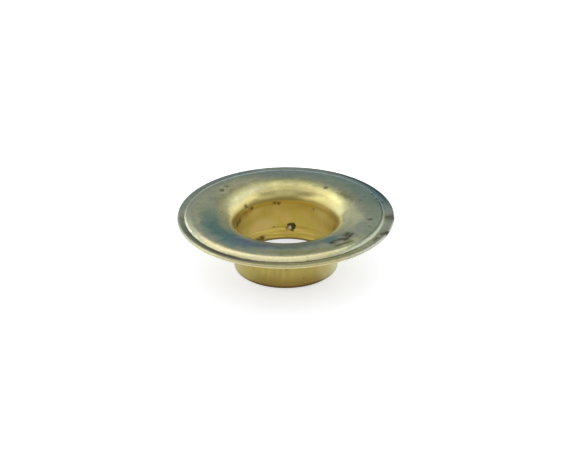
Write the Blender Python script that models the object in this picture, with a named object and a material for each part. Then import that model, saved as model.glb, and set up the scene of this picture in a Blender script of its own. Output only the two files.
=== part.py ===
"""Grommet eyelet: one disc of sheet brass, drawn down into a barrel and pressed to a stepped flange.

Metres, +Z up. The origin is the centre of the barrel's open end, on which the eyelet stands,
and +Z runs up the bore to the flange.
"""
import math

import bmesh
import bpy

MM = 0.001

# Overall sizes
FLANGE_DIAMETER = 20.0 * MM
HEIGHT = 5.4 * MM
BORE_DIAMETER = 9.28 * MM

# The sheet: as thick as it came at the flange, and thinned by drawing at the barrel's open end
SHEET = 0.28 * MM
END_WALL = 0.20 * MM
END_ROUND = 0.05 * MM

# The flange from its rim inwards: a flat lip, a step up, a flat land and the mouth. The mouth is a
# wide bell that takes all the width that is left, and tips over into the throat's tighter roll.
LIP_WIDTH = 0.76 * MM
STEP_HEIGHT = 0.25 * MM
STEP_WIDTH = 0.80 * MM
LAND_WIDTH = 1.20 * MM
BELL_TILT = math.radians(24)
THROAT_RADIUS = 1.50 * MM

# Facets
TURN_STEPS = 88
RIM_STEPS = 6
STEP_STEPS = 4
BELL_STEPS = 4
THROAT_STEPS = 6
END_STEPS = 2
SHARP_ANGLE = math.radians(30)

BRASS_COLOUR = (0.36, 0.27, 0.095, 1.0)
BRASS_ROUGHNESS = 0.32


def shares(count):
    """The fractions 1/count, 2/count and so on up to 1."""
    return [step / count for step in range(1, count + 1)]


def upper_skin():
    """The side that shows, from the rim's top to the barrel's end.

    Each station is (radius, height, lean, thickness): lean is how far the sheet's normal tips
    from straight up, outwards if positive, and thickness is measured along that normal.
    """
    lip_top = HEIGHT - STEP_HEIGHT
    crease_radius = FLANGE_DIAMETER / 2 - LIP_WIDTH
    stations = [(FLANGE_DIAMETER / 2 - SHEET / 2, lip_top, 0.0, SHEET)]

    # The step is an arc that ends level with the land. The crease at its foot is a mitred corner.
    step_lean = 2 * math.atan2(STEP_HEIGHT, STEP_WIDTH)
    step_radius = STEP_WIDTH / math.sin(step_lean)
    shoulder_radius = crease_radius - STEP_WIDTH
    mitre = step_lean / 2
    stations.append((crease_radius, lip_top, mitre, SHEET / math.cos(mitre)))
    for share in shares(STEP_STEPS):
        lean = step_lean * (1 - share)
        radius = shoulder_radius + step_radius * math.sin(lean)
        height = HEIGHT - step_radius * (1 - math.cos(lean))
        stations.append((radius, height, lean, SHEET))

    # The mouth is two arcs, one running into the other: the bell from the land's inner edge, and
    # the throat's roll from there to the upright bore
    bore_radius = BORE_DIAMETER / 2
    bell_edge = shoulder_radius - LAND_WIDTH
    throat_centre = bore_radius + THROAT_RADIUS
    bell_radius = THROAT_RADIUS + (bell_edge - throat_centre) / math.sin(BELL_TILT)
    bell_centre_height = HEIGHT - bell_radius
    throat_height = bell_centre_height + (bell_radius - THROAT_RADIUS) * math.cos(BELL_TILT)
    stations.append((bell_edge, HEIGHT, 0.0, SHEET))
    for share in shares(BELL_STEPS):
        lean = -BELL_TILT * share
        radius = bell_edge + bell_radius * math.sin(lean)
        height = bell_centre_height + bell_radius * math.cos(lean)
        stations.append((radius, height, lean, SHEET))
    for share in shares(THROAT_STEPS):
        lean = -BELL_TILT - (math.pi / 2 - BELL_TILT) * share
        radius = throat_centre + THROAT_RADIUS * math.sin(lean)
        height = throat_height + THROAT_RADIUS * math.cos(lean)
        stations.append((radius, height, lean, SHEET))

    stations.append((bore_radius, END_ROUND, -math.pi / 2, END_WALL))
    return stations


def lower_skin(stations):
    """The same stations on the sheet's other side, as points from the rim to the barrel's end."""
    points = []
    for radius, height, lean, thickness in stations:
        points.append((radius - thickness * math.sin(lean), height - thickness * math.cos(lean)))
    return points


def corner(centre, radius, start, end, steps):
    """Points on an arc about a centre, after its first and up to its last angle."""
    points = []
    for share in shares(steps):
        angle = start + (end - start) * share
        points.append((centre[0] + radius * math.cos(angle), centre[1] + radius * math.sin(angle)))
    return points


def section_outline():
    """The closed outline of the sheet's section, as (radius, height) points."""
    stations = upper_skin()
    outline = [(radius, height) for radius, height, lean, thickness in stations]

    # The cut end of the barrel: a narrow flat ring between two eased edges
    inner_edge = (BORE_DIAMETER / 2 + END_ROUND, END_ROUND)
    outer_edge = (BORE_DIAMETER / 2 + END_WALL - END_ROUND, END_ROUND)
    outline += corner(inner_edge, END_ROUND, math.pi, 1.5 * math.pi, END_STEPS)
    outline.append((outer_edge[0], 0.0))
    outline += corner(outer_edge, END_ROUND, 1.5 * math.pi, 2 * math.pi, END_STEPS)[:-1]

    outline += reversed(lower_skin(stations))

    # The rim is half round, from the lip's underside up to its top
    rim_centre = (FLANGE_DIAMETER / 2 - SHEET / 2, HEIGHT - STEP_HEIGHT - SHEET / 2)
    outline += corner(rim_centre, SHEET / 2, -math.pi / 2, math.pi / 2, RIM_STEPS)[:-1]
    return outline


def revolve(name, outline):
    """Turn a closed outline once round the Z axis into an object."""
    shape = bmesh.new()
    points = [shape.verts.new((radius, 0.0, height)) for radius, height in outline]
    edges = [shape.edges.new((points[i - 1], points[i])) for i in range(len(points))]
    bmesh.ops.spin(shape, geom=points + edges, cent=(0, 0, 0), axis=(0, 0, 1), angle=2 * math.pi,
                   steps=TURN_STEPS, use_merge=True)
    bmesh.ops.recalc_face_normals(shape, faces=shape.faces)
    mesh = bpy.data.meshes.new(name)
    shape.to_mesh(mesh)
    shape.free()
    mesh.shade_smooth()
    mesh.set_sharp_from_angle(angle=SHARP_ANGLE)
    turned = bpy.data.objects.new(name, mesh)
    bpy.context.scene.collection.objects.link(turned)
    return turned


def brass():
    """Satin sheet brass, a little dulled."""
    material = bpy.data.materials.new("brass")
    material.use_nodes = True
    shader = material.node_tree.nodes["Principled BSDF"]
    shader.inputs["Base Color"].default_value = BRASS_COLOUR
    shader.inputs["Metallic"].default_value = 1.0
    shader.inputs["Roughness"].default_value = BRASS_ROUGHNESS
    return material


for leftover in list(bpy.data.objects):
    bpy.data.objects.remove(leftover)

eyelet = revolve("eyelet", section_outline())
eyelet.data.materials.append(brass())
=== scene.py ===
import math
from types import SimpleNamespace

import bpy
from mathutils import Matrix, Vector


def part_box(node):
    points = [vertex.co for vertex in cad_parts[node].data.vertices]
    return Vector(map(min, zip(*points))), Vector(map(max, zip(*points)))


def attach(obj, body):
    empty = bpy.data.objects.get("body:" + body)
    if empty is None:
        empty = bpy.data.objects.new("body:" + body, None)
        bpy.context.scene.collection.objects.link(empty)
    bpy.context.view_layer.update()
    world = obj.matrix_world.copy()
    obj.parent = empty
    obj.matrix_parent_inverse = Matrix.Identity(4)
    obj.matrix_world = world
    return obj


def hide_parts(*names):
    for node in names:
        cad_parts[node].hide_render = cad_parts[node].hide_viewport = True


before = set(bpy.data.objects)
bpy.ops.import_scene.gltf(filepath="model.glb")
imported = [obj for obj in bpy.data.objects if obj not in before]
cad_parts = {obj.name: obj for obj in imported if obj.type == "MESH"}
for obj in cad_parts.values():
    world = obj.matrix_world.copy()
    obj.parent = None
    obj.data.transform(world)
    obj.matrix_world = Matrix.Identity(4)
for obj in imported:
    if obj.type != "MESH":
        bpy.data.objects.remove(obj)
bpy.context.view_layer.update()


# The eyelet: one disc of sheet brass, drawn down into an open barrel and pressed to a flange with
# a flat lip, a step, a level land and a wide rolled mouth. Its section is a closed line of corners,
# each with a fillet of its own, and the tree turns that line once round the bore.
MM = 0.001
flange_low, flange_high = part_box("eyelet")
EYELET_SIZES = {
    "Flange Diameter": flange_high[0] - flange_low[0],
    "Height": flange_high[2] - flange_low[2],
    "Bore Diameter": 9.28 * MM,
    "Sheet": 0.28 * MM,
    "End Wall": 0.20 * MM,
    "End Round": 0.05 * MM,
    "Lip Width": 0.76 * MM,
    "Step Height": 0.25 * MM,
    "Step Width": 0.80 * MM,
    "Land Width": 1.20 * MM,
    "Bell Tilt": math.radians(24),
    "Throat Radius": 1.50 * MM,
    "Crease Round": 0.05 * MM,
    "Off Centre": 0.10 * MM,
    "Shift Begins": 6.4 * MM,
    "Shift Full": 7.2 * MM,
    "Shift Wanes": 9.3 * MM,
    "Shift Ends": 9.85 * MM,
    "Right Shoulder": 0.46 * MM,
    "Shoulder Begins": 7.5 * MM,
    "Shoulder Full": 8.44 * MM,
    "Shoulder Ends": 9.24 * MM,
}
EYELET_COUNTS = {"Turn Steps": 384, "Fillet Steps": 12}
SEAM_GAP = 0.001 * MM
# The fuller shoulder fades in towards the right: from and to, as the cosine of the angle to the right
RIGHT_SIDE = (0.35, 0.85)


def calc(tree, operation, *values):
    """The result of a Math node on sockets and plain numbers."""
    node = tree.nodes.new("ShaderNodeMath")
    node.operation = operation
    for slot, value in zip(node.inputs, values):
        if isinstance(value, bpy.types.NodeSocket):
            tree.links.new(value, slot)
        else:
            slot.default_value = value
    return node.outputs[0]


def chained(tree, operation, values):
    """Several values taken together two at a time, such as their sum or the largest of them."""
    result = values[0]
    for value in values[1:]:
        result = calc(tree, operation, result, value)
    return result


def product(tree, *factors):
    """Several values multiplied together."""
    return chained(tree, "MULTIPLY", factors)


def diagonal(tree, across, along):
    """The length of the diagonal of two lengths at right angles."""
    square = calc(tree, "ADD", product(tree, across, across), product(tree, along, along))
    return calc(tree, "SQRT", square)


def wire(tree, kind, inputs, output=0, **settings):
    """A node of one kind with its settings and inputs. An input is a socket or a plain value."""
    node = tree.nodes.new(kind)
    for name, value in settings.items():
        setattr(node, name, value)
    for name, value in inputs.items():
        if isinstance(name, str):
            slot = [socket for socket in node.inputs if socket.name == name and socket.enabled][0]
        else:
            slot = node.inputs[name]
        if isinstance(value, bpy.types.NodeSocket):
            tree.links.new(value, slot)
        else:
            slot.default_value = value
    if isinstance(output, str):
        return [socket for socket in node.outputs if socket.name == output and socket.enabled][0]
    return node.outputs[output]


def split(tree, vector):
    """The X, Y and Z of a vector."""
    parts = tree.nodes.new("ShaderNodeSeparateXYZ")
    tree.links.new(vector, parts.inputs[0])
    return parts.outputs["X"], parts.outputs["Y"], parts.outputs["Z"]


def rise(tree, value, start, end):
    """A soft step from 0 at the start to 1 at the end."""
    return wire(tree, "ShaderNodeMapRange", {"Value": value, "From Min": start, "From Max": end},
                interpolation_type="SMOOTHSTEP")


def slope_between(tree, value, start, end):
    """A straight slope from 0 at the start to 1 at the end."""
    return wire(tree, "ShaderNodeMapRange", {"Value": value, "From Min": start, "From Max": end})


def pick(tree, kind, choices):
    """One of several values, picked by the point's own number."""
    switch = tree.nodes.new("GeometryNodeIndexSwitch")
    switch.data_type = kind
    while len(switch.index_switch_items) < len(choices):
        switch.index_switch_items.new()
    tree.links.new(tree.nodes.new("GeometryNodeInputIndex").outputs[0], switch.inputs["Index"])
    for number, value in enumerate(choices):
        if isinstance(value, bpy.types.NodeSocket):
            tree.links.new(value, switch.inputs[number + 1])
        else:
            switch.inputs[number + 1].default_value = value
    return switch.outputs[0]


def section_corners(tree, size):
    """The corners of the sheet's section as (radius, height, fillet), round from the rim's top."""
    def add(a, b):
        return calc(tree, "ADD", a, b)

    def less(a, b):
        return calc(tree, "SUBTRACT", a, b)

    def times(a, b):
        return calc(tree, "MULTIPLY", a, b)

    sheet = size["Sheet"]
    rim = times(size["Flange Diameter"], 0.5)
    bore = times(size["Bore Diameter"], 0.5)
    top = size["Height"]
    under = less(top, sheet)
    lip_top = less(top, size["Step Height"])
    lip_under = less(lip_top, sheet)

    # The step's arc runs from the crease up to the land, and meets the land level
    crease = less(rim, size["Lip Width"])
    shoulder = less(crease, size["Step Width"])
    slope = calc(tree, "DIVIDE", size["Step Height"], size["Step Width"])
    step_lean = times(calc(tree, "ARCTANGENT", slope), 2.0)
    step_radius = calc(tree, "DIVIDE", size["Step Width"], calc(tree, "SINE", step_lean))
    step_inner = less(step_radius, sheet)

    # The mouth's bell takes the width that is left between the land and the throat's roll
    throat = size["Throat Radius"]
    tilt = size["Bell Tilt"]
    bell_edge = less(shoulder, size["Land Width"])
    spare = less(less(bell_edge, bore), throat)
    bell = add(throat, calc(tree, "DIVIDE", spare, calc(tree, "SINE", tilt)))
    bell_corner = calc(tree, "TANGENT", times(tilt, 0.5))
    throat_corner = calc(tree, "TANGENT", less(math.pi / 4, times(tilt, 0.5)))
    fall = times(less(bell, throat), calc(tree, "COSINE", tilt))
    throat_height = add(less(top, bell), fall)
    bell_inner = less(bell, sheet)
    throat_inner = less(throat, sheet)

    return [
        (rim, lip_top, times(sheet, 0.5)),
        (crease, lip_top, size["Crease Round"]),
        (add(shoulder, times(step_radius, slope)), top, step_radius),
        (less(bell_edge, times(bell, bell_corner)), top, bell),
        (bore, add(throat_height, times(throat, throat_corner)), throat),
        (bore, 0.0, size["End Round"]),
        (add(bore, size["End Wall"]), 0.0, size["End Round"]),
        (add(bore, sheet), add(throat_height, times(throat_inner, throat_corner)), throat_inner),
        (less(bell_edge, times(bell_inner, bell_corner)), under, bell_inner),
        (add(shoulder, times(step_inner, slope)), under, step_inner),
        (less(crease, times(sheet, slope)), lip_under, sheet),
        (rim, lip_under, times(sheet, 0.5)),
    ]


def raised_shift(tree, size):
    """How far each point of the raised part moves: a little to the left of the rim's centre, and
    outwards on the right, where the shoulder is fuller and keeps level nearly to the crease."""
    position = tree.nodes.new("GeometryNodeInputPosition").outputs[0]
    across, along, up = split(tree, position)
    radius = diagonal(tree, across, along)
    raised = product(tree, rise(tree, radius, size["Shift Begins"], size["Shift Full"]),
                     rise(tree, radius, size["Shift Ends"], size["Shift Wanes"]))
    aside = product(tree, raised, size["Off Centre"], -1.0)
    land = slope_between(tree, radius, size["Shoulder Begins"], size["Shoulder Full"])
    step = slope_between(tree, radius, size["Shoulder Ends"], size["Shoulder Full"])
    right = rise(tree, calc(tree, "DIVIDE", across, radius), *RIGHT_SIDE)
    full = product(tree, calc(tree, "MINIMUM", land, step), right)
    outwards = calc(tree, "DIVIDE", product(tree, full, size["Right Shoulder"]), radius)
    return wire(tree, "ShaderNodeCombineXYZ", {
        "X": calc(tree, "MULTIPLY_ADD", across, outwards, aside),
        "Y": product(tree, along, outwards),
    })


def turning_tree(material):
    """The tree that draws the section and turns it round the bore."""
    tree = bpy.data.node_groups.new("turned sheet", "GeometryNodeTree")
    for name in EYELET_SIZES:
        tree.interface.new_socket(name, in_out="INPUT", socket_type="NodeSocketFloat")
    for name in EYELET_COUNTS:
        tree.interface.new_socket(name, in_out="INPUT", socket_type="NodeSocketInt")
    tree.interface.new_socket("Eyelet", in_out="OUTPUT", socket_type="NodeSocketGeometry")
    size = tree.nodes.new("NodeGroupInput").outputs
    corners = section_corners(tree, size)

    # The section lies in the profile's own plane, with the rim of the flange at its origin
    rim = product(tree, size["Flange Diameter"], 0.5)
    places = []
    for radius, height, fillet in corners:
        across = calc(tree, "SUBTRACT", radius, rim)
        down = product(tree, height, -1.0)
        places.append(wire(tree, "ShaderNodeCombineXYZ", {"X": across, "Y": down}))
    place = pick(tree, "VECTOR", places)
    fillets = pick(tree, "FLOAT", [fillet for radius, height, fillet in corners])
    points = wire(tree, "GeometryNodePoints", {"Count": len(corners)})
    placed = wire(tree, "GeometryNodeSetPosition", {"Geometry": points, "Position": place})
    line = wire(tree, "GeometryNodePointsToCurves", {"Points": placed})
    closed = wire(tree, "GeometryNodeSetSplineCyclic", {"Geometry": line, "Cyclic": True})
    section = wire(tree, "GeometryNodeFilletCurve", {
        "Curve": closed,
        "Count": size["Fillet Steps"],
        "Radius": fillets,
        "Limit Radius": True,
    }, mode="POLY")

    path = wire(tree, "GeometryNodeCurvePrimitiveCircle",
                {"Resolution": size["Turn Steps"], "Radius": rim})
    turned = wire(tree, "GeometryNodeCurveToMesh", {"Curve": path, "Profile Curve": section})
    merged = wire(tree, "GeometryNodeMergeByDistance", {"Geometry": turned, "Distance": SEAM_GAP})
    shifted = wire(tree, "GeometryNodeSetPosition",
                   {"Geometry": merged, "Offset": raised_shift(tree, size)})
    outward = wire(tree, "GeometryNodeFlipFaces", {"Mesh": shifted})
    smooth = wire(tree, "GeometryNodeSetShadeSmooth", {"Geometry": outward, "Shade Smooth": True})
    whole = wire(tree, "GeometryNodeRealizeInstances", {"Geometry": smooth})
    finished = wire(tree, "GeometryNodeSetMaterial", {"Geometry": whole, "Material": material})
    tree.links.new(finished, tree.nodes.new("NodeGroupOutput").inputs["Eyelet"])
    return tree


def blend(tree, below, above, share):
    """One colour laid over another by a share from 0 to 1."""
    return wire(tree, "ShaderNodeMix", {"Factor": share, "A": below, "B": above}, output="Result",
                data_type="RGBA")


def vary(tree, colour, grain, strength):
    """A colour made a little lighter and darker by noise, which is 0.5 where it stays as it is."""
    factor = calc(tree, "MULTIPLY_ADD", calc(tree, "SUBTRACT", grain, 0.5), strength, 1.0)
    return wire(tree, "ShaderNodeVectorMath", {"Vector": colour, "Scale": factor},
                operation="SCALE")


def tinted(tree, colour, tints, pattern, share):
    """A colour with tints laid on where a pattern of noise runs from one value to another."""
    for tint, values in tints.values():
        colour = blend(tree, colour, tint, product(tree, rise(tree, pattern, *values), share))
    return colour


def noise(tree, place, scale, detail=2.0, output="Fac"):
    """Blender's own noise on coordinates in millimetres."""
    return wire(tree, "ShaderNodeTexNoise", {"Vector": place, "Scale": scale, "Detail": detail},
                output=output)


def drawn_noise(tree, place, around, upwards, detail):
    """Noise on the drawn wall, by how fine it is round the wall and up it, so that it runs in
    streaks or in rings."""
    flat = wire(tree, "ShaderNodeVectorMath", {0: place, 1: (1, 1, 0)}, operation="MULTIPLY")
    turn = wire(tree, "ShaderNodeVectorMath", {0: flat}, operation="NORMALIZE")
    turn = wire(tree, "ShaderNodeVectorMath", {"Vector": turn, "Scale": around}, operation="SCALE")
    lift = wire(tree, "ShaderNodeVectorMath", {0: place, 1: (0, 0, upwards)}, operation="MULTIPLY")
    both = wire(tree, "ShaderNodeVectorMath", {0: turn, 1: lift}, operation="ADD")
    return noise(tree, both, 1.0, detail)


def shaken(tree, place, *shakes):
    """A place moved about by noise, once for each scale and size, so that what is drawn there has
    an uneven edge."""
    for scale, size in shakes:
        sway = wire(tree, "ShaderNodeVectorMath",
                    {0: noise(tree, place, scale, output="Color"), 1: (0.5, 0.5, 0.5)},
                    operation="SUBTRACT")
        sway = wire(tree, "ShaderNodeVectorMath", {"Vector": sway, "Scale": size},
                    operation="SCALE")
        place = wire(tree, "ShaderNodeVectorMath", {0: place, 1: sway}, operation="ADD")
    return place


def polar_place(tree, place, middle=0.0):
    """The angle in degrees, 0 at the front and 90 at the right, and the radius in millimetres,
    round a middle along X."""
    across, along, up = split(tree, place)
    across = calc(tree, "SUBTRACT", across, middle)
    angle = calc(tree, "ARCTAN2", across, product(tree, along, -1.0))
    return calc(tree, "DEGREES", angle), diagonal(tree, across, along)


def turned_from(tree, angle, middle):
    """How many degrees an angle lies to one side or the other of a middle one."""
    return calc(tree, "WRAP", calc(tree, "SUBTRACT", angle, middle), 180.0, -180.0)


def oval(tree, polar, middle, reach):
    """1 in the middle of an oval on the sheet and 0 at its edge, in degrees and millimetres."""
    core = 0.25
    angle, distance = polar
    turn = calc(tree, "DIVIDE", turned_from(tree, angle, middle[0]), reach[0])
    out = calc(tree, "DIVIDE", calc(tree, "SUBTRACT", distance, middle[1]), reach[1])
    return rise(tree, diagonal(tree, turn, out), 1.0, core)


def band(tree, polar, angles, radii, fade, edge):
    """1 on a stretch of a ring, from one angle and radius to another, with soft ends and edges."""
    angle, radius = polar
    middle = (angles[0] + angles[1]) / 2
    half = (angles[1] - angles[0]) / 2
    turn = calc(tree, "ABSOLUTE", turned_from(tree, angle, middle))
    return product(tree, rise(tree, turn, half, half - fade),
                   rise(tree, radius, radii[0], radii[0] + edge),
                   rise(tree, radius, radii[1], radii[1] - edge))


def near(tree, place, angle, radius, height):
    """The distance from a point on the sheet, in millimetres."""
    turn = math.radians(angle)
    point = (radius * math.sin(turn), -radius * math.cos(turn), height)
    return wire(tree, "ShaderNodeVectorMath", {0: place, 1: point}, output="Value",
                operation="DISTANCE")


def stroke(tree, place, start, end):
    """The distance from a straight line between two points, in millimetres."""
    run = [b - a for a, b in zip(start, end)]
    run_squared = sum(step * step for step in run)
    past = wire(tree, "ShaderNodeVectorMath", {0: place, 1: start}, operation="SUBTRACT")
    share = wire(tree, "ShaderNodeVectorMath", {0: past, 1: run}, output="Value",
                 operation="DOT_PRODUCT")
    share = slope_between(tree, share, 0.0, run_squared)
    along = wire(tree, "ShaderNodeVectorMath", {0: run, "Scale": share}, operation="SCALE")
    return wire(tree, "ShaderNodeVectorMath", {0: past, 1: along}, output="Value",
                operation="DISTANCE")


# Noise by scale and detail, from the broadest clouds to the grain
CLOUD = (0.45, 3.0)
BLOTCH = (0.7, 2.0)
MOTTLE = (1.3, 2.0)
UNEVEN = (2.2, 1.0)
BREAKS = (2.4, 1.0)
FLECK = (3.2, 2.0)
GRAIN = (14.0, 3.0)
GRAIN_STRENGTH = 0.10
# What drawing left on the wall: how fine it is round it and up it, and its detail
STREAKS = (14.0, 0.5, 3.0)
RINGS = (1.5, 4.5, 2.0)
# How far marks are shaken, by scale and size, so that no edge is a true circle
STAIN_SHAKES = ((0.9, 1.3), (3.0, 0.35))
EDGE_SHAKES = ((2.6, 0.10),)
SPOT_SHAKES = ((2.6, 0.36), (7.0, 0.12))
SCUFF_SHAKES = ((1.8, 0.36),)

# Where one part of the sheet gives way to the next, in millimetres of height or radius
WALL_BELOW = (4.9, 4.1)
DULL_BELOW = (4.7, 4.1)
RINGS_BELOW = (1.9, 1.3)
# The height below which painted shade darkens the front of the barrel
BROWN_SHADE_BELOW = (1.7, 0.1)
CUT_END_BELOW = (0.34, 0.12)
FACE_ABOVE = (4.5, 4.8)
FACE_BEYOND = (5.6, 6.7)
OUTSIDE_BEYOND = (4.68, 4.76)
# The same by how far the surface tips up, from 1 at the top to -1 at the underside
UPPER_LEAN = (-0.45, -0.1)
UNDER_LEAN = (0.1, -0.2)
# The front of the barrel, where painted shade makes its end darkest, in degrees either way
BROWN_SHADE_FRONT = (90, 20)

# Bare brass: in the mouth, down the bore and the barrel, and under the flange
GOLD = (0.65, 0.58, 0.25, 1)
DRAWN = (0.51, 0.395, 0.08, 1)
OUTSIDE = (0.42, 0.335, 0.095, 1)
UNDERSIDE = (0.50, 0.42, 0.17, 1)
UNDERSIDE_BLOTCHES = 0.6
# Blotches of the drawn wall: colour, and from what noise to what they fade in
DRAWN_BLOTCHES = {
    "tan": ((0.62, 0.43, 0.14, 1), (0.46, 0.70)),
    "olive": ((0.46, 0.42, 0.10, 1), (0.48, 0.28)),
}
BARREL_BLOTCHES = 0.15
MORE_IN_BORE = 0.35
# The colour low in the bore, its strength, and the rings on it
LOW_BORE = (0.48, 0.34, 0.06, 1)
LOW_BORE_STRENGTH = 0.5
RING_TINTS = {
    "bright": ((0.66, 0.52, 0.12, 1), (0.52, 0.66)),
    "dull": ((0.42, 0.29, 0.05, 1), (0.46, 0.32)),
}
# Painted shade: the front of the barrel darker towards its end
BARREL_BROWN_SHADE = (0.27, 0.18, 0.045, 1)
BROWN_SHADE_STRENGTH = 0.95
CUT_END = (0.11, 0.07, 0.02, 1)
CUT_END_STRENGTH = 0.8
# Patches of the mouth and the drawn wall by angle and height: middle, reach, colour, strength and
# the side of the sheet. Some are stains; some are painted highlights and painted reflections in
# the throat, at the top of the bore and on the barrel's sides.
WALL_STAINS_AND_PAINTED_LIGHT = {
    # Painted reflection: the top of the bore paler on the right
    "painted reflection right top": ((116, 3.9), (44, 1.6), (0.90, 0.76, 0.30, 1), 0.8, "inside"),
    # Painted reflection: the top of the bore paler on the left
    "painted reflection left top": ((-122, 3.9), (44, 1.5), (0.84, 0.70, 0.22, 1), 0.7, "inside"),
    # Warmer throat at the back, lightened by a painted highlight
    "warm tint with painted highlight throat back": ((178, 4.66), (90, 1.18), (1.00, 0.72, 0.15, 1), 0.95, "inside"),
    # Painted highlight on the throat at the left
    "painted highlight left throat": ((-92, 4.75), (24, 0.7), (0.94, 0.90, 0.52, 1), 0.7, "inside"),
    "rust left top": ((-126, 3.7), (14, 0.6), (0.44, 0.28, 0.06, 1), 0.4, "inside"),
    "rust right": ((98, 2.6), (16, 1.6), (0.40, 0.25, 0.06, 1), 0.6, "inside"),
    "tan left": ((-150, 1.8), (26, 1.1), (0.66, 0.50, 0.20, 1), 0.6, "inside"),
    "olive low left": ((-120, 0.9), (26, 1.0), (0.42, 0.38, 0.12, 1), 0.5, "inside"),
    "olive low right": ((120, 0.9), (26, 1.0), (0.42, 0.38, 0.12, 1), 0.5, "inside"),
    # Painted reflection: the barrel's right side paler
    "painted reflection barrel right": ((88, 1.5), (62, 5.0), (0.67, 0.65, 0.39, 1), 0.85, "outside"),
    # Tan tint and painted reflection: the barrel's left side paler
    "tan tint with painted reflection barrel left": ((-86, 1.5), (60, 5.0), (0.58, 0.50, 0.24, 1), 0.7, "outside"),
    "green barrel left": ((-44, 0.9), (20, 1.1), (0.46, 0.42, 0.11, 1), 0.4, "outside"),
}
# Where the barrel's streaks are strongest, by angle and height: middle and reach. How strong they
# are all over the wall, and how much stronger there
STREAKED = ((-24, 1.4), (30, 3.0))
STREAK_STRENGTH = 0.15
MORE_STREAKED = 0.9

# The film on the face: pale, and grey in the clouds, which fade in from one noise to another
FILM_PALE = (0.56, 0.55, 0.36, 1)
FILM_GREY = (0.42, 0.46, 0.32, 1)
GREY_CLOUDS = (0.35, 0.65)
FILM_MOTTLES = {
    "tan": ((0.58, 0.47, 0.40, 1), (0.52, 0.72)),
    "olive": ((0.36, 0.39, 0.19, 1), (0.48, 0.28)),
}
MOTTLE_STRENGTH = 0.45
FLECK_STRENGTH = 0.45
# Patches of the film by angle and radius: middle, reach, colour and strength. Most are tarnish;
# some are painted highlights and painted shade on the mouth and the step.
FILM_STAINS_AND_PAINTED_LIGHT = {
    "pale left": ((-96, 8.2), (46, 1.2), (0.61, 0.58, 0.35, 1), 0.75),
    # Olive film, darkened as painted shade to narrow the mouth's highlight at the back
    "olive film with painted shade back": ((180, 6.5), (112, 0.9), (0.34, 0.33, 0.14, 1), 0.85),
    "tan left back": ((-143, 7.4), (42, 1.3), (0.68, 0.61, 0.34, 1), 0.85),
    # Olive film, darkened as painted shade to narrow the mouth's highlight at the left back
    "olive film with painted shade left back": ((-126, 6.3), (44, 1.0), (0.42, 0.40, 0.20, 1), 0.8),
    # Painted shade: darker film at the right back of the mouth
    "painted shade right back": ((122, 7.1), (44, 1.0), (0.40, 0.38, 0.26, 1), 0.5),
    # Painted highlight on the mouth's right side
    "painted highlight right mouth": ((80, 6.0), (42, 1.5), (1.00, 0.91, 0.52, 1), 0.9),
    "teal right back": ((125, 8.6), (55, 1.8), (0.28, 0.37, 0.27, 1), 0.85),
    "teal back": ((178, 8.2), (44, 1.5), (0.33, 0.38, 0.30, 1), 0.85),
    "grey green left": ((-84, 7.4), (26, 1.0), (0.44, 0.46, 0.26, 1), 0.7),
    "blue left front": ((-50, 7.05), (54, 1.75), (0.15, 0.29, 0.255, 1), 0.95),
    "violet left front": ((-26, 6.7), (26, 1.4), (0.23, 0.26, 0.34, 1), 0.85),
    "olive left front": ((-66, 6.25), (28, 0.9), (0.23, 0.33, 0.21, 1), 0.75),
    # Painted shade: darker film at the right of the mouth
    "painted shade right": ((96, 6.95), (20, 0.6), (0.42, 0.41, 0.26, 1), 0.5),
    # Film, darkened further as painted shade in the front of the mouth
    "film and painted shade front": ((4, 6.1), (50, 1.6), (0.20, 0.25, 0.20, 1), 0.85),
    "teal right front": ((36, 6.8), (14, 0.62), (0.16, 0.32, 0.31, 1), 0.75),
    "olive front": ((8, 7.95), (40, 0.5), (0.44, 0.39, 0.14, 1), 0.75),
    # Painted highlight on the step at the right front
    "painted highlight cream right front": ((43, 8.35), (17, 0.8), (0.72, 0.67, 0.34, 1), 0.9),
    "grey right": ((66, 7.7), (24, 0.9), (0.52, 0.51, 0.38, 1), 0.6),
    "teal lip right back": ((112, 9.5), (26, 0.9), (0.19, 0.32, 0.27, 1), 0.9),
}
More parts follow.
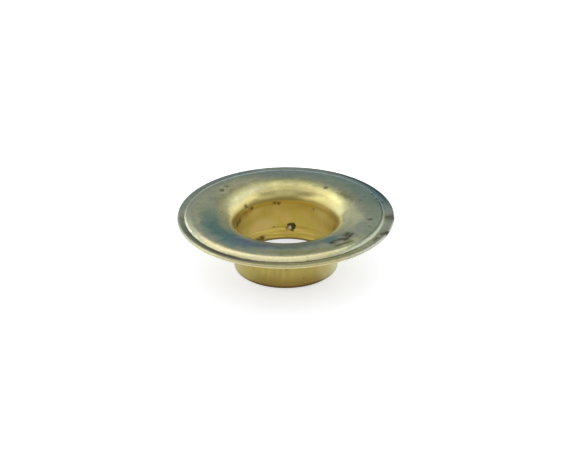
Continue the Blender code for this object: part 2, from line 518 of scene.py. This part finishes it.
# Stretches of the stepped edge: angles, radii, how soft their ends and edges are, colour and
# strength. Many are painted highlights and painted shade on the step, the crease, the lip and the
# rim; the rest are tarnish.
EDGES = {
    "blue step back": ((104, 242), (8.50, 9.55), 30, 0.20, (0.36, 0.43, 0.42, 1), 0.65),
    "grey lip back left": ((184, 262), (9.30, 9.95), 24, 0.10, (0.24, 0.27, 0.24, 1), 0.45),
    # Painted shade along the back of the rim
    "painted shade rim back": ((82, 262), (9.76, 10.3), 40, 0.06, (0.15, 0.18, 0.20, 1), 0.75),
    # Painted shade along the rim at the right back
    "painted shade rim right back": ((84, 172), (9.62, 10.3), 34, 0.08, (0.06, 0.10, 0.12, 1), 0.85),
    # Painted shade over the step's highlight on the left
    "painted shade step left": ((-125, -44), (8.70, 9.24), 22, 0.22, (0.36, 0.37, 0.25, 1), 0.75),
    # Painted shade over the step's highlight on the right
    "painted shade step right": ((30, 116), (8.84, 9.13), 16, 0.10, (0.18, 0.21, 0.15, 1), 0.92),
    # Painted highlight on the step at the front
    "painted highlight step front": ((-68, 44), (8.30, 9.26), 24, 0.30, (0.60, 0.54, 0.28, 1), 0.85),
    # Painted highlight, cream, on the step at the front
    "painted highlight cream step front": ((-50, 26), (8.66, 9.24), 20, 0.10, (0.82, 0.76, 0.47, 1), 0.85),
    # Pink tint and painted highlight on the step at the left
    "pink tint with painted highlight step left": ((-72, -22), (8.45, 9.0), 18, 0.25, (0.62, 0.52, 0.38, 1), 0.6),
    "gold lip front": ((-34, 62), (9.26, 10.2), 24, 0.06, (0.46, 0.41, 0.18, 1), 0.85),
    # Painted highlight on the front of the rim
    "painted highlight rim front": ((-64, 42), (9.74, 10.2), 22, 0.10, (0.66, 0.60, 0.33, 1), 0.75),
    # Painted shade on the lip at the left, below the step
    "painted shade lip left": ((-98, -2), (9.20, 9.70), 34, 0.10, (0.19, 0.18, 0.11, 1), 0.82),
    # Brown painted shade on the lip at the left
    "brown painted shade lip left": ((-62, 4), (9.20, 9.60), 26, 0.06, (0.15, 0.10, 0.07, 1), 0.65),
    # Painted shade in the crease at the front
    "painted shade crease front": ((-20, 60), (9.20, 9.42), 20, 0.07, (0.14, 0.12, 0.07, 1), 0.8),
    "olive lip right": ((34, 74), (9.26, 9.75), 18, 0.10, (0.54, 0.55, 0.29, 1), 0.8),
    "grey lip right": ((60, 108), (9.26, 10.0), 16, 0.10, (0.50, 0.50, 0.39, 1), 0.7),
    # Painted reflection on the rim at the right
    "painted reflection rim right": ((26, 84), (9.80, 10.3), 14, 0.08, (0.50, 0.50, 0.43, 1), 0.75),
    # Painted highlight along the crease at the left
    "painted highlight crease left": ((-112, -58), (9.06, 9.26), 20, 0.05, (0.66, 0.66, 0.48, 1), 0.85),
    # Painted highlight along the crease at the right
    "painted highlight crease right": ((24, 94), (9.10, 9.25), 14, 0.05, (0.45, 0.48, 0.37, 1), 0.9),
}
# A speckled patch of the step on the right, by angle and radius, and its specks
SPECKLED = ((108, 9.1), (22, 0.7))
SPECKS = {
    "dark": ((0.06, 0.13, 0.14, 1), (0.52, 0.62)),
    "pale": ((0.46, 0.54, 0.52, 1), (0.44, 0.34)),
}
# Two broken lines along the step on the left, a painted highlight and a painted shade by the
# crease: angles, radii, how soft their ends and edges are, colour, and from what noise to what
# they fade in
PAINTED_HIGHLIGHT_AND_SHADE_LINES = {
    # A painted highlight along the crease
    "pale": ((-86, -54), (9.06, 9.22), 10, 0.05, (0.86, 0.86, 0.66, 1), (0.56, 0.44)),
    # A painted shade along the crease
    "dark": ((-80, -50), (9.24, 9.42), 10, 0.05, (0.10, 0.11, 0.08, 1), (0.46, 0.58)),
}
# Where the film runs on down into the mouth, by angle and radius: middle, reach and strength
FILM_REACHES = {
    "front": ((0, 5.4), (95, 2.0), 1.0),
    # The film reaching in at the left back also darkens the mouth there as painted shade, narrowing
    # its highlight
    "left back": ((-132, 6.1), (52, 1.1), 0.9),
    "right": ((80, 5.8), (36, 0.8), 0.8),
}

# Spots: angle, radius and height of the middle, size, and how dark. Each is full in its core, which
# is a share of its size
SPOT_CORE = 0.25
SPOTS = {
    "bore top a": (-167.0, 4.64, 4.03, 0.32, 0.75),
    "bore top b": (-171.8, 4.64, 3.92, 0.28, 0.8),
    "bore top left": (-137.0, 4.64, 4.03, 0.36, 0.75),
    "throat left a": (-129.2, 4.74, 4.45, 0.36, 0.75),
    "throat left b": (-134.0, 4.66, 4.20, 0.28, 0.7),
    "bore right": (145.2, 4.64, 3.61, 0.20, 0.6),
    "bore middle": (-165.2, 4.64, 1.36, 0.18, 0.6),
    "beside the ring": (178.5, 4.64, 1.21, 0.26, 0.6),
    "face left a": (-126.5, 7.47, 5.40, 0.42, 0.85),
    "face left b": (-133.5, 7.70, 5.40, 0.36, 0.7),
    "face left c": (-131.5, 7.46, 5.40, 0.22, 0.5),
    "mouth back": (142.8, 6.30, 5.31, 0.34, 0.8),
    "mouth back b": (129.0, 6.24, 5.29, 0.20, 0.6),
    "mouth right c": (110.5, 6.59, 5.36, 0.26, 0.6),
    "face right back": (107.5, 7.32, 5.40, 0.34, 0.5),
    "face right back b": (111.5, 7.87, 5.40, 0.34, 0.45),
    "crease right a": (104.5, 8.88, 5.29, 0.36, 0.6),
    "face right a": (77.2, 7.86, 5.40, 0.38, 0.8),
    "face right b": (68.0, 8.22, 5.40, 0.28, 0.5),
    "step front": (12.2, 8.88, 5.32, 0.16, 0.6),
    "barrel front": (0.5, 4.88, 1.94, 0.12, 0.6),
    "barrel right": (19.0, 4.86, 0.89, 0.18, 0.4),
}
# Scuffs and knocks: the two ends of a short stroke, its width, and how dark. Noise breaks them up,
# and leaves them this strong at least. A soft smudge reaches past them, in shares of their width
SCUFF_CORE = 0.2
SCUFF_GAPS = (0.36, 0.56)
SCUFF_LEAST = 0.65
SMUDGE_REACH = 1.6
SMUDGE_CORE = 0.5
SMUDGE_STRENGTH = 0.4
SCUFFS = {
    "scuff a": ((4.05, -6.12, 5.40), (4.45, -5.90, 5.40), 0.42, 0.95),
    "scuff b": ((4.45, -6.72, 5.40), (5.80, -5.88, 5.40), 0.32, 0.80),
    "scuff c": ((4.75, -5.55, 5.40), (5.40, -5.45, 5.40), 0.36, 0.90),
    "scuff d": ((5.25, -5.65, 5.40), (5.95, -4.50, 5.40), 0.30, 0.90),
    "scuff e": ((5.25, -4.85, 5.40), (5.60, -4.45, 5.40), 0.44, 0.90),
    "smear mouth right": ((5.25, 3.70, 5.33), (5.98, 2.80, 5.36), 0.42, 0.55),
    "lip knock a": ((7.85, -5.25, 5.15), (8.20, -4.80, 5.15), 0.32, 0.70),
    "lip knock b": ((8.76, -4.14, 5.15), (9.14, -3.78, 5.15), 0.44, 1.00),
    "bore left": ((-4.52, 1.05, 3.50), (-4.28, 1.79, 3.50), 0.42, 0.85),
    "bore low left": ((-2.28, 4.04, 0.42), (-2.74, 3.75, 0.40), 0.38, 0.95),
    "rim knock": ((9.58, -0.94, 5.15), (9.97, -0.94, 5.12), 0.76, 1.00),
}
SOOT_FACE = (0.055, 0.060, 0.035, 1)
SOOT_BORE = (0.13, 0.075, 0.015, 1)
SMUDGE = (0.24, 0.25, 0.10, 1)
# Marks above this height are on the face, and others within this radius are in the bore
FACE_MARKS = 5.0
BORE_MARKS = 4.7
# Pale spots: angle, radius and height of the middle, size, and how pale
PALE_CORE = 0.2
PALE_SPOTS = {
    "face front right": (37.7, 7.66, 5.40, 0.38, 0.55),
    "rim front right": (30.5, 9.96, 5.08, 0.34, 0.8),
}
PALE_SPOT = (0.62, 0.53, 0.44, 1)
# The ring spot on the bore's back wall: a dark disc, and a paler heart to one side of it. Angle,
# radius and height of the middle, from where to where each fades in, and colour
RING_SPOT = {
    "disc": ((173.3, 4.64, 1.38), (0.49, 0.38), (0.065, 0.05, 0.012, 1)),
    "heart": ((175.4, 4.64, 1.24), (0.29, 0.12), (0.50, 0.42, 0.27, 1)),
}

# How rough the brass is in the mouth and under the film, and what the drawn wall, the dark marks
# and the mottle add
MOUTH_ROUGH = 0.28
FILM_ROUGH = 0.31
WALL_ROUGHER = 0.14
MARKS_ROUGHER = 0.20
MOTTLE_ROUGHER = 0.12
# The depth of the relief, and the shares of it by which the surface rises with its grain, its
# unevenness and the streaks, and falls at a dark mark
RELIEF = 0.010 * MM
GRAIN_RISE = 0.03
UNEVEN_RISE = 0.8
STREAK_RISE = 0.5
MARK_FALL = -0.5


def sheet_places(tree):
    """Where a point of the sheet lies, in millimetres and degrees, and which side of it shows."""
    own = wire(tree, "ShaderNodeTexCoord", {}, output="Object")
    place = wire(tree, "ShaderNodeVectorMath", {"Vector": own, "Scale": 1 / MM}, operation="SCALE")
    lean = split(tree, wire(tree, "ShaderNodeTexCoord", {}, output="Normal"))[2]
    height = split(tree, place)[2]
    outside = rise(tree, polar_place(tree, place)[1], *OUTSIDE_BEYOND)
    edge_middle = -EYELET_SIZES["Off Centre"] / MM
    return SimpleNamespace(
        place=place,
        height=height,
        polar=polar_place(tree, shaken(tree, place, *STAIN_SHAKES)),
        edge_polar=polar_place(tree, shaken(tree, place, *EDGE_SHAKES), edge_middle),
        spotted=shaken(tree, place, *SPOT_SHAKES),
        scuffed=shaken(tree, place, *SCUFF_SHAKES),
        outside=outside,
        inside=calc(tree, "SUBTRACT", 1.0, outside),
        upper=rise(tree, lean, *UPPER_LEAN),
        under=rise(tree, lean, *UNDER_LEAN),
        wall=rise(tree, height, *WALL_BELOW),
        streaks=drawn_noise(tree, place, *STREAKS),
        mottle=noise(tree, place, *MOTTLE),
        grain=noise(tree, place, *GRAIN),
    )


def bare_brass_with_painted_light(tree, at):
    """The bright mouth and the drawn wall below it. Drawing left the wall faint upright streaks,
    strongest on the front of the barrel, and rings low in the bore. Its end is browner, and painted
    shade darkens the front of the barrel towards its end. Painted highlights and reflections
    lighten the throat, the top of the bore and the barrel's sides."""
    angle = at.polar[0]
    blotch = noise(tree, at.place, *BLOTCH)
    rings = drawn_noise(tree, at.place, *RINGS)
    drawn = blend(tree, DRAWN, OUTSIDE, at.outside)
    blotchy = calc(tree, "MULTIPLY_ADD", at.inside, MORE_IN_BORE, BARREL_BLOTCHES)
    drawn = tinted(tree, drawn, DRAWN_BLOTCHES, blotch, blotchy)
    streaked = product(tree, oval(tree, (angle, at.height), *STREAKED), at.outside)
    streaked = calc(tree, "MULTIPLY_ADD", streaked, MORE_STREAKED, STREAK_STRENGTH)
    drawn = vary(tree, drawn, at.streaks, streaked)

    low = product(tree, rise(tree, at.height, *RINGS_BELOW), at.inside)
    drawn = blend(tree, drawn, LOW_BORE, product(tree, low, LOW_BORE_STRENGTH))
    drawn = tinted(tree, drawn, RING_TINTS, rings, low)
    front = rise(tree, calc(tree, "ABSOLUTE", angle), *BROWN_SHADE_FRONT)
    # Painted shade on the front of the barrel, darker towards its end
    brown = product(tree, rise(tree, at.height, *BROWN_SHADE_BELOW), front, BROWN_SHADE_STRENGTH)
    drawn = blend(tree, drawn, BARREL_BROWN_SHADE, brown)
    cut_end = rise(tree, at.height, *CUT_END_BELOW)
    drawn = blend(tree, drawn, CUT_END, product(tree, cut_end, CUT_END_STRENGTH))

    bare = blend(tree, GOLD, UNDERSIDE, product(tree, at.outside, at.under))
    bare = vary(tree, bare, blotch, product(tree, at.outside, UNDERSIDE_BLOTCHES))
    colour = blend(tree, bare, drawn, at.wall)
    sides = {"inside": at.inside, "outside": at.outside}
    # Stains, with painted highlights and reflections among them
    for middle, reach, tint, strength, side in WALL_STAINS_AND_PAINTED_LIGHT.values():
        patch = oval(tree, (angle, at.height), middle, reach)
        colour = blend(tree, colour, tint, product(tree, patch, strength, sides[side]))
    return colour


def film_with_painted_light(tree, at):
    """The dull film on the face: pale and grey clouds, patches, and the marks of the stepped edge,
    with painted highlights and painted shade among the patches and the marks.
    """
    fleck = noise(tree, at.place, *FLECK)
    clouds = rise(tree, noise(tree, at.place, *CLOUD), *GREY_CLOUDS)
    film = blend(tree, FILM_PALE, FILM_GREY, clouds)
    film = tinted(tree, film, FILM_MOTTLES, at.mottle, MOTTLE_STRENGTH)
    # Patches of film, with painted highlights and shade among them
    for middle, reach, tint, strength in FILM_STAINS_AND_PAINTED_LIGHT.values():
        patch = oval(tree, at.polar, middle, reach)
        film = blend(tree, film, tint, product(tree, patch, strength))
    # Bands of the stepped edge, with painted highlights and shade among them
    for angles, radii, fade, edge, tint, strength in EDGES.values():
        stretch = band(tree, at.edge_polar, angles, radii, fade, edge)
        film = blend(tree, film, tint, product(tree, stretch, strength))
    film = tinted(tree, film, SPECKS, fleck, oval(tree, at.edge_polar, *SPECKLED))
    # The painted highlight and shade lines along the crease
    for angles, radii, fade, edge, tint, values in PAINTED_HIGHLIGHT_AND_SHADE_LINES.values():
        line = band(tree, at.edge_polar, angles, radii, fade, edge)
        film = blend(tree, film, tint, product(tree, line, rise(tree, fleck, *values)))
    return vary(tree, film, fleck, FLECK_STRENGTH)


def film_share(tree, at):
    """How much film lies on a place: all of it on the face, and none under the flange."""
    shares = [rise(tree, at.polar[1], *FACE_BEYOND)]
    for middle, reach, strength in FILM_REACHES.values():
        shares.append(product(tree, oval(tree, at.polar, middle, reach), strength))
    return product(tree, chained(tree, "MAXIMUM", shares), rise(tree, at.height, *FACE_ABOVE),
                   at.upper)


def mark_side(at, radius, height):
    """Where a mark shows: on the upper side of the face, inside the bore, or on both sides."""
    if height > FACE_MARKS:
        return at.upper
    if radius < BORE_MARKS:
        return at.inside
    return 1.0


def dark_marks(tree, at):
    """How dark the spots and scuffs make a place, and how dark the soft smudge round the scuffs
    makes it. The scuffs are a little broken up."""
    marks = []
    for angle, radius, height, size, depth in SPOTS.values():
        gap = near(tree, at.spotted, angle, radius, height)
        spot = rise(tree, gap, size, size * SPOT_CORE)
        marks.append(product(tree, spot, depth, mark_side(at, radius, height)))
    broken = rise(tree, noise(tree, at.place, *BREAKS), *SCUFF_GAPS)
    broken = calc(tree, "MULTIPLY_ADD", broken, 1 - SCUFF_LEAST, SCUFF_LEAST)
    smudges = []
    for start, end, width, depth in SCUFFS.values():
        side = mark_side(at, math.hypot(start[0], start[1]), start[2])
        gap = stroke(tree, at.scuffed, start, end)
        soft = rise(tree, gap, width * SMUDGE_REACH, width * SMUDGE_CORE)
        smudges.append(product(tree, soft, depth * SMUDGE_STRENGTH))
        scuff = rise(tree, gap, width, width * SCUFF_CORE)
        marks.append(product(tree, scuff, depth, broken, side))
    return chained(tree, "MAXIMUM", marks), chained(tree, "MAXIMUM", smudges)


def brass():
    """Satin brass: bright in the mouth, dull on the face under its film, and browner where it was
    drawn, with painted highlights, reflections and shade in its colour. The spots are brown in the
    bore and sooty green on the face."""
    material = bpy.data.materials.new("satin brass")
    material.use_nodes = True
    tree = material.node_tree
    shader = tree.nodes["Principled BSDF"]
    shader.inputs["Metallic"].default_value = 1.0

    at = sheet_places(tree)
    film = film_share(tree, at)
    dark, smudge = dark_marks(tree, at)
    colour = blend(tree, bare_brass_with_painted_light(tree, at), film_with_painted_light(tree, at), film)
    colour = vary(tree, colour, at.grain, GRAIN_STRENGTH)
    colour = blend(tree, colour, SMUDGE, product(tree, smudge, at.upper))
    colour = blend(tree, colour, blend(tree, SOOT_FACE, SOOT_BORE, at.wall), dark)
    for angle, radius, height, size, strength in PALE_SPOTS.values():
        gap = near(tree, at.spotted, angle, radius, height)
        pale = rise(tree, gap, size, size * PALE_CORE)
        colour = blend(tree, colour, PALE_SPOT, product(tree, pale, at.upper, strength))
    for middle, fade, tint in RING_SPOT.values():
        disc = rise(tree, near(tree, at.spotted, *middle), *fade)
        colour = blend(tree, colour, tint, product(tree, disc, at.inside))
    tree.links.new(colour, shader.inputs["Base Color"])

    rough = chained(tree, "ADD", [
        wire(tree, "ShaderNodeMapRange",
             {"Value": film, "To Min": MOUTH_ROUGH, "To Max": FILM_ROUGH}),
        product(tree, rise(tree, at.height, *DULL_BELOW), WALL_ROUGHER),
        product(tree, dark, MARKS_ROUGHER),
        product(tree, calc(tree, "SUBTRACT", at.mottle, 0.5), MOTTLE_ROUGHER),
    ])
    tree.links.new(rough, shader.inputs["Roughness"])

    level = chained(tree, "ADD", [
        product(tree, at.grain, GRAIN_RISE),
        product(tree, noise(tree, at.place, *UNEVEN), UNEVEN_RISE),
        product(tree, at.streaks, at.wall, STREAK_RISE),
        product(tree, dark, MARK_FALL),
    ])
    relief = wire(tree, "ShaderNodeBump", {"Height": level, "Strength": 1.0, "Distance": RELIEF})
    tree.links.new(relief, shader.inputs["Normal"])
    return material


def turned_eyelet():
    """The eyelet as a plain mesh, from its tree."""
    tree = turning_tree(brass())
    holder = bpy.data.objects.new("eyelet form", bpy.data.meshes.new("eyelet form"))
    bpy.context.scene.collection.objects.link(holder)
    modifier = holder.modifiers.new("turned sheet", "NODES")
    modifier.node_group = tree
    values = {**EYELET_SIZES, **EYELET_COUNTS}
    for item in tree.interface.items_tree:
        if item.in_out == "INPUT":
            modifier[item.identifier] = values[item.name]
    evaluated = holder.evaluated_get(bpy.context.evaluated_depsgraph_get())
    mesh = bpy.data.meshes.new_from_object(evaluated)
    bpy.data.objects.remove(holder)
    piece = bpy.data.objects.new("drawn_eyelet", mesh)
    bpy.context.scene.collection.objects.link(piece)
    return piece


eyelet = turned_eyelet()
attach(eyelet, "root")
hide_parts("eyelet")


# The floor: a wide sheet of white paper that the eyelet stands on. It glows a little to the camera
# and in what the metal mirrors, so that it shows white, and it keeps the eyelet's shadow.
FLOOR_SIDE = 1.6
PAPER_COLOUR = (0.90, 0.90, 0.90, 1)
PAPER_ROUGH = 0.9
GLOW_COLOUR = (0.84, 0.88, 1.0, 1)
GLOW = 0.56
bpy.ops.mesh.primitive_plane_add(size=FLOOR_SIDE)
floor = bpy.context.object
floor.name = "paper_floor"
paper = bpy.data.materials.new("white paper")
paper.use_nodes = True
paper_tree = paper.node_tree
paper_shader = paper_tree.nodes["Principled BSDF"]
paper_shader.inputs["Base Color"].default_value = PAPER_COLOUR
paper_shader.inputs["Roughness"].default_value = PAPER_ROUGH
paper_shader.inputs["Specular IOR Level"].default_value = 0.0
paper_shader.inputs["Emission Color"].default_value = GLOW_COLOUR
rays = paper_tree.nodes.new("ShaderNodeLightPath").outputs
seen_by = [rays["Is Camera Ray"], rays["Is Glossy Ray"], rays["Is Transmission Ray"]]
glow = product(paper_tree, chained(paper_tree, "MAXIMUM", seen_by), GLOW)
paper_tree.links.new(glow, paper_shader.inputs["Emission Strength"])
floor.data.materials.append(paper)


# The camera: it looks at the eyelet from the front, from 28 degrees above. The middle of the eyelet
# comes at the target pixel of a picture of 570 by 456 pixels.
TARGET = Vector((0.0, 0.0, 2.5 * MM))
DISTANCE = 150.0 * MM
ELEVATION = math.radians(28.235)
ROLL = math.radians(-0.42)
FOCAL_PIXELS = 1614.2
IMAGE_WIDTH = 570
IMAGE_HEIGHT = 456
TARGET_PIXEL = (285.83, 238.99)
SENSOR = 36.0
NEAREST = 0.01

towards_eye = Vector((0.0, -math.cos(ELEVATION), math.sin(ELEVATION)))
picture_right = Vector((1.0, 0.0, 0.0))
picture_up = Vector((0.0, math.sin(ELEVATION), math.cos(ELEVATION)))
pixel = DISTANCE / FOCAL_PIXELS
aim = TARGET + picture_right * (IMAGE_WIDTH / 2 - TARGET_PIXEL[0]) * pixel
aim += picture_up * (TARGET_PIXEL[1] - IMAGE_HEIGHT / 2) * pixel
camera_data = bpy.data.cameras.new("camera")
camera_data.sensor_width = SENSOR
camera_data.lens = FOCAL_PIXELS * SENSOR / IMAGE_WIDTH
camera_data.clip_start = NEAREST
camera = bpy.data.objects.new("camera", camera_data)
eye = TARGET + towards_eye * DISTANCE
look = (aim - eye).to_track_quat("-Z", "Y").to_matrix().to_4x4()
camera.matrix_world = Matrix.Translation(eye) @ look @ Matrix.Rotation(ROLL, 4, "Z")
bpy.context.scene.collection.objects.link(camera)
bpy.context.scene.camera = camera


# The light: soft lamps all round the eyelet, at one distance from it, in a plain grey room. Each has
# an azimuth, 0 behind the eyelet and 90 to its right, an elevation, a width, a height and a strength.
LAMP_DISTANCE = 0.4
LAMPS = {
    "left": (-66, 30, 0.58, 0.40, 1.0),
    "right": (62, 34, 0.46, 0.42, 0.95),
    "overhead": (-4, 54, 0.36, 0.15, 0.95),
    "top": (0, 80, 0.34, 0.16, 0.55),
    "front left": (-128, 32, 0.22, 0.18, 0.9),
    "front right": (132, 40, 0.22, 0.18, 0.6),
    "front top": (180, 62, 0.22, 0.30, 0.38),
}


def softbox(name, azimuth, elevation, width, height, strength):
    """A rectangular lamp that faces the eyelet."""
    lamp = bpy.data.lights.new(name, "AREA")
    lamp.shape = "RECTANGLE"
    lamp.size = width
    lamp.size_y = height
    lamp.energy = strength * width * height * math.pi
    holder = bpy.data.objects.new(name, lamp)
    turn = math.radians(azimuth)
    lift = math.radians(elevation)
    place = Vector((math.sin(turn) * math.cos(lift), math.cos(turn) * math.cos(lift), math.sin(lift)))
    holder.location = place * LAMP_DISTANCE
    holder.rotation_euler = place.to_track_quat("Z", "Y").to_euler()
    bpy.context.scene.collection.objects.link(holder)


for name, values in LAMPS.items():
    softbox(name, *values)

# The room is grey, and darker and bluer low down behind the eyelet
ROOM_GREY = (0.38, 0.375, 0.36, 1)
ROOM_BLUE = (0.27, 0.32, 0.36, 1)
BEHIND = (0.1, 0.7)
LOW_DOWN = (0.80, 0.55)
world = bpy.data.worlds.new("studio")
bpy.context.scene.world = world
world.use_nodes = True
sky = world.node_tree
across, away, up = split(sky, wire(sky, "ShaderNodeTexCoord", {}, output="Generated"))
low_behind = product(sky, rise(sky, away, *BEHIND), rise(sky, up, *LOW_DOWN))
room = blend(sky, ROOM_GREY, ROOM_BLUE, low_behind)
sky.links.new(room, sky.nodes["Background"].inputs["Color"])
sky.nodes["Background"].inputs["Strength"].default_value = 1.0

bpy.context.scene.view_settings.view_transform = "Standard"
